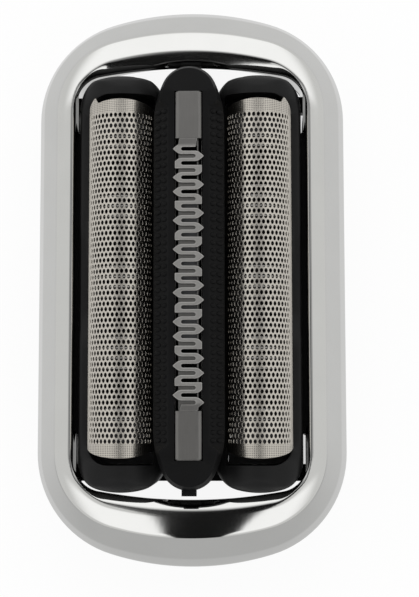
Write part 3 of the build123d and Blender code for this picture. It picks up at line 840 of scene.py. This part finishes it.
class HEAD_OT_trimmer_carrier(bpy.types.Operator):
    """Build the boat-shaped carrier of the middle trimmer"""

    bl_idname = "foil_head.trimmer_carrier"
    bl_label = "Trimmer Carrier"

    def execute(self, context):
        trimmer = context.scene.foil_head.trimmer
        top = carrier_high.z
        half_length = carrier_high.y
        half_width = trimmer.half_width
        shoulder = top - trimmer.slope_height
        foot = shoulder - trimmer.edge_height
        gap, brim_inset, brim_rise = 0.05 * MM, 0.4 * MM, 0.3 * MM
        crown_rise, crown_radius = 5.0 * MM, 13.5 * MM
        flare_start, flare_full, fall_start, nose_fall = 16.9 * MM, 17.9 * MM, 18.6 * MM, 0.9 * MM
        channel_corner, profile_round, foot_draw = 0.08 * MM, 0.22 * MM, 0.08
        channel_width = comb_width() + gap
        channel_length = comb_high.y + gap
        floor = top - trimmer.channel_depth
        slope_run = half_width - trimmer.crown_half
        land_run = trimmer.crown_half - channel_width
        outer = oval_row(half_width, half_length, trimmer.nose, trimmer.nose_radius, 0)
        crown_length = half_length - trimmer.crown_inset
        crown = oval_row(trimmer.crown_half, crown_length, crown_rise, crown_radius, 0)
        brim_width, brim_length = half_width - brim_inset, half_length - brim_inset
        brim = oval_row(brim_width, brim_length, trimmer.nose - brim_rise, trimmer.nose_radius, 0)
        crown = [a.lerp(b, smooth(abs(a.y), flare_start, flare_full)) for a, b in zip(crown, brim)]
        channel = frame_row(channel_width, channel_length, channel_corner, 0)
        profile = [(0, foot), (0, shoulder), (slope_run, top), (slope_run + land_run, top)]
        rows = [at_level(mix_rows(outer, crown, foot_draw), foot)]
        for across, level in rounded(profile, profile_round):
            if across <= slope_run:
                row = mix_rows(outer, crown, across / slope_run)
            else:
                row = mix_rows(crown, channel, (across - slope_run) / land_run)
            share = max(level - shoulder, 0) / trimmer.slope_height
            nose = [smooth(abs(p.y), fall_start, half_length) * nose_fall for p in row]
            rows.append([Vector((p.x, p.y, level - fall * share)) for p, fall in zip(row, nose)])
        rows += [at_level(channel, top - gap), at_level(channel, floor)]
        shell = Shell()
        shell.loft(rows, lids=True)
        self.stem(shell, foot, floor, gap)
        tab_half, tab_lap, tab_drop, tab_edge = 0.75 * MM, 0.8 * MM, 0.1 * MM, 0.12 * MM
        low = Vector((-tab_half, carrier_low.y, foot))
        high = Vector((tab_half, -half_length + tab_lap, shoulder - tab_drop))
        shell.block(low, high, tab_edge)
        self.ribs(shell, trimmer, shoulder, slope_run)
        material = finish("Satin black trimmer", satin_black, context.scene.foil_head.holder.tint, 0.07)
        made = shell.piece("trimmer_boat", material, 40)
        dress(made, "trimmer_unit", "black_plastic", "trimmer_carrier")
        return {"FINISHED"}

    def stem(self, shell, foot, floor, lap):
        """Hollow stem under the cap, with a barbed post at each end."""
        stem_low, stem_edge, stem_reach = 8.0 * MM, 0.1 * MM, 20.1 * MM
        steps = (6, 4, 4)
        stem = frame_row(2.3 * MM, stem_reach, 0.3 * MM, 0, steps)
        slot = frame_row(1.2 * MM, 4.3 * MM, 0.1 * MM, 0, steps)
        levels = (
            (stem, foot + lap),
            (stem, stem_low + stem_edge),
            (mix_rows(stem, slot, 0.1), stem_low),
            (slot, stem_low),
            (slot, floor),
        )
        shell.loft([at_level(row, level) for row, level in levels])
        post_half, post_depth, post_low, post_edge = 1.0 * MM, 0.65 * MM, 4.6 * MM, 0.05 * MM
        barb = ((1.0, 4.7), (1.25, 4.6), (1.25, 4.3), (1.0, 4.0))
        for end in (-1, 1):
            near, far = end * stem_reach - post_depth, end * stem_reach + post_depth
            shell.block(Vector((-post_half, near, post_low)), Vector((post_half, far, foot)), post_edge)
            rows = []
            for half, level in barb:
                x, z = half * MM, level * MM
                rows.append([(-x, near, z), (x, near, z), (x, far, z), (-x, far, z)])
            shell.loft(rows, lids=True)

    def ribs(self, shell, trimmer, shoulder, slope_run):
        """Two rows of small rounded pips on each flank."""
        pip_rows = ((0.29, 0.52 * MM), (0.72, 0.4 * MM))
        dome = ((-0.05, 1.0), (0.06, 0.96), (0.14, 0.74), (0.18, 0.36))
        pip_half, pip_sides = 0.25 * MM, 10
        down = Vector((slope_run, trimmer.slope_height)).normalized()
        for sign in (-1, 1):
            for number in range(trimmer.ribs):
                middle = (number - (trimmer.ribs - 1) / 2) * trimmer.rib_pitch
                for share, reach in pip_rows:
                    centre_x = trimmer.half_width - slope_run * share
                    centre_z = shoulder + trimmer.slope_height * share
                    rows = []
                    for lift, size in dome:
                        row = []
                        for step in range(pip_sides):
                            turn = 2 * math.pi * step / pip_sides
                            along = pip_half * size * math.sin(turn)
                            across = reach * size * math.cos(turn)
                            x = centre_x - down.x * across + down.y * lift * MM
                            z = centre_z + down.y * across + down.x * lift * MM
                            row.append((sign * x, middle + along, z))
                        rows.append(row)
                    shell.loft(rows, lids=True)


def comb_width():
    """Half the width of the comb's plain ends, inside the reach of its tips."""
    return (comb_high.x - comb_low.x) / 2 - 0.2 * MM


class HEAD_OT_trimmer_comb(bpy.types.Operator):
    """Build the serpentine comb and the blade that runs under it"""

    bl_idname = "foil_head.trimmer_comb"
    bl_label = "Trimmer Comb"

    def execute(self, context):
        trimmer = context.scene.foil_head.trimmer
        tint = context.scene.foil_head.blade.tint
        material = finish("Comb steel", brushed_steel, tint, trimmer.plate_start)
        half_width = comb_width()
        tip = comb_high.x
        top = comb_high.z
        half_pitch = trimmer.turn_pitch / 2
        slot = trimmer.slot / 2
        chains = {1: [], -1: []}
        bar = half_pitch - slot
        mouth_reach, arc_steps, cycle = 0.72 * MM, 6, 5
        plate, plate_edge, plate_lap = 0.25 * MM, 0.08 * MM, 0.02 * MM
        rail, rail_drop, rail_edge = 0.07 * MM, 0.55 * MM, 0.03 * MM
        for number in range(trimmer.turns):
            middle = ((trimmer.turns - 1) / 2 - number) * half_pitch + trimmer.serpentine_shift
            opens = 1 if number % 2 == 0 else -1
            end = -opens * trimmer.slot_end
            mouth = opens * mouth_reach
            closed_end = []
            for step in range(arc_steps + 1):
                turn = math.pi * step / arc_steps
                inward = opens * slot * (1 - math.sin(turn))
                closed_end.append((end + inward, middle + slot * math.cos(turn)))
            chains[opens] += [(mouth, middle + slot)] + closed_end + [(mouth, middle - slot)]
            kind = number % cycle
            upper = [(0.72, 1.0), (1.02, 0.86), (1.28, 0.5), (1.5, 0.17), (tip / MM, 0.0)]
            lower = list(upper)
            if kind in (2, 3):
                slanted = [(0.72, 1.0), (1.0, 0.88), (1.24, 0.55), (half_width / MM, 0.3)]
                square = [(0.72, 1.0), (1.3, 1.0), (half_width / MM, 0.9)]
                upper, lower = (slanted, square) if kind == 2 else (square, slanted)
            if number == 0:
                upper = upper[1:]
            if number == trimmer.turns - 1:
                lower = lower[1:]
            turn_line = [(-opens * x * MM, middle + y * bar) for x, y in upper]
            turn_line += [(-opens * x * MM, middle - y * bar) for x, y in reversed(lower)]
            chains[-opens] += turn_line
        neck = trimmer.neck
        lap = trimmer.plate_start + plate_lap
        outline = [(-neck, lap), (neck, lap)] + chains[1]
        outline += [(neck, -lap), (-neck, -lap)] + chains[-1][::-1]
        serpentine = self.plate("comb_serpentine", [outline], top - plate, top, plate_edge)
        shell = Shell()
        for end in (-1, 1):
            self.folded_end(shell, trimmer, end, half_width, top)
        for sign in (-1, 1):
            near, far = sorted((sign * half_width, sign * (half_width - rail)))
            low = Vector((near, -trimmer.plate_start, comb_low.z))
            high = Vector((far, trimmer.plate_start, top - rail_drop))
            shell.block(low, high, rail_edge)
        ends_piece = shell.piece("comb_folded_ends", material, 35)
        ends_piece.modifiers.new("Flat faces", "WEIGHTED_NORMAL").keep_sharp = True
        made = mesh_piece("trimmer_serpentine", serpentine, material, 35)
        dress(made, "trimmer_unit", "blade_steel", "trimmer_comb")
        dress(ends_piece, "trimmer_unit", "blade_steel", "trimmer_comb")
        self.moving_blade(trimmer, tint)
        return {"FINISHED"}

    def plate(self, name, outlines, low, high, edge):
        """Mesh of a flat plate with a rounded edge, filled from its outlines."""
        curve = bpy.data.curves.new(name, "CURVE")
        curve.dimensions = "2D"
        curve.fill_mode = "BOTH"
        curve.extrude = (high - low) / 2 - edge
        curve.bevel_depth = edge
        curve.bevel_resolution = 2
        curve.offset = -edge
        for outline in outlines:
            line = curve.splines.new("POLY")
            line.points.add(len(outline) - 1)
            for point, (x, y) in zip(line.points, outline):
                point.co = (x, y, 0, 1)
            line.use_cyclic_u = True
        holder = bpy.data.objects.new(name, curve)
        bpy.context.scene.collection.objects.link(holder)
        bpy.context.view_layer.update()
        graph = bpy.context.evaluated_depsgraph_get()
        mesh = bpy.data.meshes.new_from_object(holder.evaluated_get(graph))
        mesh.transform(Matrix.Translation((0, 0, (low + high) / 2)))
        bpy.data.objects.remove(holder)
        bpy.data.curves.remove(curve)
        return mesh

    def folded_end(self, shell, trimmer, end, half_width, top):
        """Plain end of the comb, folded down along both edges into the channel."""
        sheet, inner_fold, end_edge, end_shrink = 0.2 * MM, 0.6, 0.12 * MM, 0.1 * MM
        fold = trimmer.fold

        def channel(half, level):
            """Section of a skin, from one foot over the top to the other."""
            return [(-half, comb_low.z), (-half, level), (half, level), (half, comb_low.z)]

        section = rounded(channel(half_width, top), fold)
        section += rounded(channel(half_width - sheet, top - sheet), fold - sheet * inner_fold)[::-1]
        near = trimmer.plate_start
        far = comb_high.y
        rows = []
        for y, shrink in ((near, 0), (far - end_edge, 0), (far, end_shrink)):
            row = []
            for x, z in section:
                inward = min(max(x / half_width, -1), 1)
                row.append((x - inward * shrink, end * y, z - (shrink if z > top - fold else 0)))
            rows.append(row)
        shell.loft(rows, lids=True)

    def moving_blade(self, trimmer, tint):
        """Ladder of cutting edges under the comb."""
        low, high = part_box("trimmer_blade")
        half_width = high.x
        outlines = [[(-half_width, low.y), (half_width, low.y), (half_width, high.y), (-half_width, high.y)]]
        web, window_half, edge, darkened = 0.14 * MM, 0.36 * MM, 0.03 * MM, 0.4
        shift = trimmer.turn_pitch / 4 + trimmer.serpentine_shift
        for number in range(trimmer.turns // 2):
            middle = (number - (trimmer.turns // 2 - 1) / 2) * trimmer.turn_pitch + shift
            near, far = middle - window_half, middle + window_half
            left, right = -half_width + web, half_width - web
            outlines.append([(left, near), (right, near), (right, far), (left, far)])
        mesh = self.plate("moving_blade", outlines, low.z, high.z, edge)
        material = finish("Trimmer blade steel", brushed_steel, scaled(tint, darkened))
        made = mesh_piece("trimmer_ladder", mesh, material, 35)
        dress(made, "trimmer_cutter", "blade_steel", "trimmer_blade")


class HEAD_OT_hidden_mouldings(bpy.types.Operator):
    """Finish the chassis, cutter bars, retainers, slider and springs"""

    bl_idname = "foil_head.hidden_mouldings"
    bl_label = "Hidden Mouldings"

    def execute(self, context):
        head = context.scene.foil_head
        black = finish("Satin black chassis", satin_black, scaled(head.holder.tint, 1.2), 0.1)
        grey = finish("Dark grey moulding", grey_moulding, (0.07, 0.07, 0.075))
        spring = finish("Spring strip", brushed_steel, scaled(head.blade.tint, 0.8))
        finishes = {"chassis": black, "trimmer_slider": grey}
        finishes["trimmer_float_springs"] = finishes["trimmer_pressure_springs"] = spring
        for side, _ in SIDES:
            finishes[f"{side}_cutter_carrier"] = grey
            finishes[f"{side}_cutter_retainers"] = grey
            finishes[f"{side}_foil_springs"] = spring
        for node, material in finishes.items():
            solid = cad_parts[node]
            solid.data.materials.clear()
            solid.data.materials.append(material)
        return {"FINISHED"}


class HEAD_OT_stage(bpy.types.Operator):
    """Set up the floor, the soft surroundings, the lamp and the camera"""

    bl_idname = "foil_head.stage"
    bl_label = "Stage"

    def execute(self, context):
        stage = context.scene.foil_head.stage
        context.scene.view_settings.view_transform = "Standard"
        self.floor(stage)
        self.surroundings(context.scene)
        self.lamp("Far softbox", place=(0, 0.17, 0.13), size=(0.2, 0.1), power=0.06)
        self.camera(context.scene, stage)
        return {"FINISHED"}

    def floor(self, stage):
        """Pale floor that keeps a faint shadow and shows white to the camera and pale in the metal, where a
        painted shadow darkens it towards the lower end.
        """
        mesh = bpy.data.meshes.new("floor")
        half, glow_level, painted_shadow_drop, glow_share = 3.0, 0.78, 0.2, 0.92
        corners = [(-half, -half, 0), (half, -half, 0), (half, half, 0), (-half, half, 0)]
        mesh.from_pydata(corners, [], [(0, 1, 2, 3)])
        material = bpy.data.materials.new("Pale floor")
        material.use_nodes = True
        graph = Graph(material.node_tree)
        diffuse = graph.node("ShaderNodeBsdfDiffuse", sockets={"Color": (*stage.floor, 1)})
        camera = graph.node("ShaderNodeLightPath", out="Is Camera Ray")
        # Painted shadow: in reflections the floor's glow falls off towards the lower end.
        near = graph.ramp(graph.axis("Y"), -0.01, -0.05)
        level = graph.math("MAXIMUM", camera, glow_level - near * painted_shadow_drop)
        tone = graph.mix(level, (0, 0, 0), (1, 1, 1))
        glow = graph.node("ShaderNodeEmission", sockets={"Color": tone, "Strength": 1.0})
        seen = self.seen(graph)
        mixed = graph.node("ShaderNodeMixShader", sockets={0: seen * glow_share, 1: diffuse, 2: glow})
        graph.node("ShaderNodeOutputMaterial", sockets={"Surface": mixed})
        mesh.materials.append(material)
        made = bpy.data.objects.new("floor", mesh)
        bpy.context.scene.collection.objects.link(made)

    def seen(self, graph):
        """One for rays from the camera, from shiny surfaces and through clear ones."""
        names = ("Is Camera Ray", "Is Glossy Ray", "Is Transmission Ray")
        rays = [graph.node("ShaderNodeLightPath", out=name) for name in names]
        return graph.math("MAXIMUM", graph.math("MAXIMUM", rays[0], rays[1]), rays[2])

    def surroundings(self, scene):
        """White tent with brighter ends, a grey patch overhead and a black lane towards the lower end."""
        world = bpy.data.worlds.new("White tent")
        world.use_nodes = True
        scene.world = world
        graph = Graph(world.node_tree)
        way = graph.node("ShaderNodeTexCoord", out="Generated")
        x, y, z = (graph.node("ShaderNodeSeparateXYZ", sockets={0: way}, out=name) for name in "XYZ")
        height = graph.math("MAXIMUM", z, 0.05)
        across = abs(x / height)
        along = y / height
        tent_white, panel_white, patch_grey, lane_black = (0.84, 0.84, 0.83), (1.4,) * 3, (0.4,) * 3, (0.01,) * 3
        patch = graph.ramp(across, 0.42, 0.3) * graph.ramp(along, 0.3, 0.24) * graph.ramp(along, -0.07, -0.03)
        lane = graph.ramp(across + along * 0.08, 0.075, 0.04) * graph.ramp(along, 0.24, 0.17)
        panel = graph.ramp(abs(along), 0.25, 0.45) * graph.ramp(across, 1.2, 0.4) * graph.ramp(z, 0.1, 0.5)
        tent = graph.mix(panel, tent_white, panel_white)
        patched = graph.mix(graph.math("MAXIMUM", patch, lane), tent, patch_grey)
        level = graph.mix(lane, patched, lane_black)
        camera = graph.node("ShaderNodeLightPath", out="Is Camera Ray")
        shown = graph.mix(camera, level, (1, 1, 1))
        glow = graph.node("ShaderNodeBackground", sockets={"Color": shown, "Strength": 1.0})
        graph.node("ShaderNodeOutputWorld", sockets={"Surface": glow})

    def lamp(self, name, place, size, power):
        """Soft rectangular lamp turned to the head."""
        light = bpy.data.lights.new(name, "AREA")
        light.shape = "RECTANGLE"
        light.size, light.size_y = size
        light.energy = power
        made = bpy.data.objects.new(name, light)
        made.location = place
        aim = Vector((0, 0, 12 * MM)) - made.location
        made.rotation_euler = aim.to_track_quat("-Z", "Y").to_euler()
        made.visible_glossy = False
        bpy.context.scene.collection.objects.link(made)

    def camera(self, scene, stage):
        """Camera nearly straight above the foils, upright along the head."""
        data = bpy.data.cameras.new("Camera")
        data.lens = stage.lens
        data.clip_start = 0.01
        picture_height = 597
        data.shift_x = 20.4 / picture_height
        data.shift_y = -22.6 / picture_height
        target = Vector((0, 0, foil_high.z))
        back = Vector((math.tan(stage.lean), -math.tan(stage.tilt), 1)).normalized()
        right = Vector((0, 1, 0)).cross(back).normalized()
        up = back.cross(right)
        made = bpy.data.objects.new("Camera", data)
        turn = Matrix((right, up, back)).transposed()
        made.matrix_world = Matrix.Translation(target + back * stage.distance) @ turn.to_4x4()
        scene.collection.objects.link(made)
        scene.camera = made


class HEAD_PT_panel(bpy.types.Panel):
    """Settings and steps of the foil head"""

    bl_idname = "HEAD_PT_panel"
    bl_label = "Foil Head"
    bl_space_type = "VIEW_3D"
    bl_region_type = "UI"
    bl_category = "Foil Head"

    def draw(self, context):
        head = context.scene.foil_head
        for name in ("ring", "holder", "foil", "blade", "trimmer", "stage"):
            group = getattr(head, name)
            box = self.layout.box()
            box.label(text=name.capitalize())
            for field in group.bl_rna.properties:
                if field.identifier not in ("rna_type", "name"):
                    box.prop(group, field.identifier)
        for step in STEPS:
            self.layout.operator(step.bl_idname)


STEPS = (
    HEAD_OT_plated_ring,
    HEAD_OT_foil_holders,
    HEAD_OT_foils,
    HEAD_OT_blade_packs,
    HEAD_OT_trimmer_carrier,
    HEAD_OT_trimmer_comb,
    HEAD_OT_hidden_mouldings,
    HEAD_OT_stage,
)
CLASSES = (
    RingSettings,
    HolderSettings,
    FoilSettings,
    BladeSettings,
    TrimmerSettings,
    StageSettings,
    HeadSettings,
    *STEPS,
    HEAD_PT_panel,
)


def register():
    """Add the classes and the scene's settings."""
    for made in CLASSES:
        bpy.utils.register_class(made)
    bpy.types.Scene.foil_head = PointerProperty(type=HeadSettings)


def unregister():
    """Take the settings and classes away."""
    del bpy.types.Scene.foil_head
    for made in reversed(CLASSES):
        bpy.utils.unregister_class(made)


def main():
    """Build every piece in order."""
    register()
    bpy.ops.foil_head.plated_ring()
    bpy.ops.foil_head.foil_holders()
    bpy.ops.foil_head.foils()
    bpy.ops.foil_head.blade_packs()
    bpy.ops.foil_head.trimmer_carrier()
    bpy.ops.foil_head.trimmer_comb()
    bpy.ops.foil_head.hidden_mouldings()
    bpy.ops.foil_head.stage()
    bpy.context.view_layer.update()


if __name__ == "__main__":
    main()
